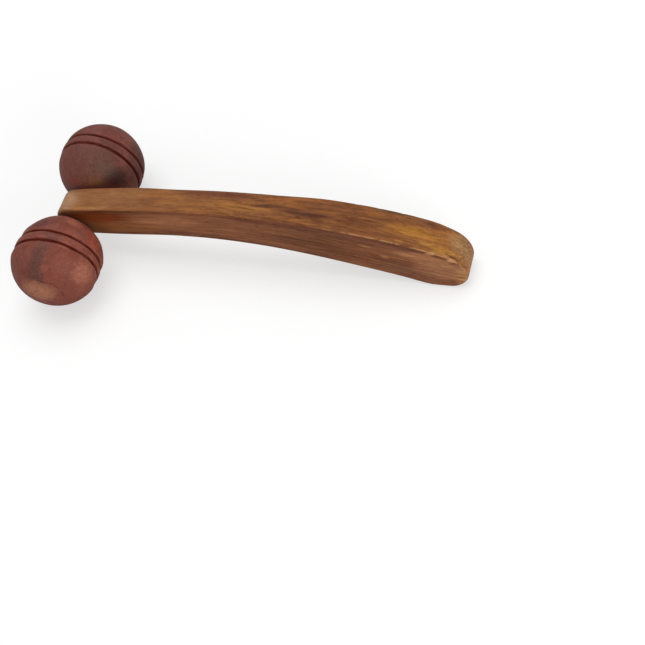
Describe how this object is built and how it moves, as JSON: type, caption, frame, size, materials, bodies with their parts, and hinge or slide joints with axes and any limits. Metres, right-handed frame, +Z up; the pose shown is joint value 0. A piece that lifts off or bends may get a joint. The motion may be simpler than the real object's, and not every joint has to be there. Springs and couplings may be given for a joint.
{
  "type": "hand-held massage roller",
  "caption": "Curved wooden handle with a turned, grooved wooden ball spinning freely on a steel rod at either side of its head.",
  "frame": {"origin": "on the table plane, at the middle of the roller's bounding box in plan, with the roller resting on both balls and the tail", "axes": "+X from the head with the balls towards the tail of the handle, +Y towards the right-hand ball along the axle, +Z up"},
  "size_m": [0.2278, 0.1084, 0.045],
  "materials": {
    "handle_wood": "satin oiled hardwood, long straight grain",
    "ball_wood": "satin oiled dark red hardwood, turned",
    "plug_wood": "satin oiled dark red hardwood, turned flush",
    "rod_steel": "ground steel rod",
    "fastener_steel": "zinc-plated steel",
    "spacer_fibre": "dark vulcanised fibre"
  },
  "bodies": {
    "handle_body": {"handle": "handle_wood", "axle_rod": "rod_steel", "left_spacer_washer": "spacer_fibre", "right_spacer_washer": "spacer_fibre", "left_retaining_washer": "fastener_steel", "right_retaining_washer": "fastener_steel", "left_retaining_screw": "fastener_steel", "right_retaining_screw": "fastener_steel"},
    "left_roller": {"left_ball": "ball_wood", "left_end_plug": "plug_wood"},
    "right_roller": {"right_ball": "ball_wood", "right_end_plug": "plug_wood"}
  },
  "joints": [
    {"name": "left_ball_spin", "type": "hinge", "parent": "handle_body", "child": "left_roller", "pos_m": [-0.0915, -0.03175, 0.0225], "axis": [0, 1, 0], "continuous": true},
    {"name": "right_ball_spin", "type": "hinge", "parent": "handle_body", "child": "right_roller", "pos_m": [-0.0915, 0.03175, 0.0225], "axis": [0, 1, 0], "continuous": true}
  ]
}
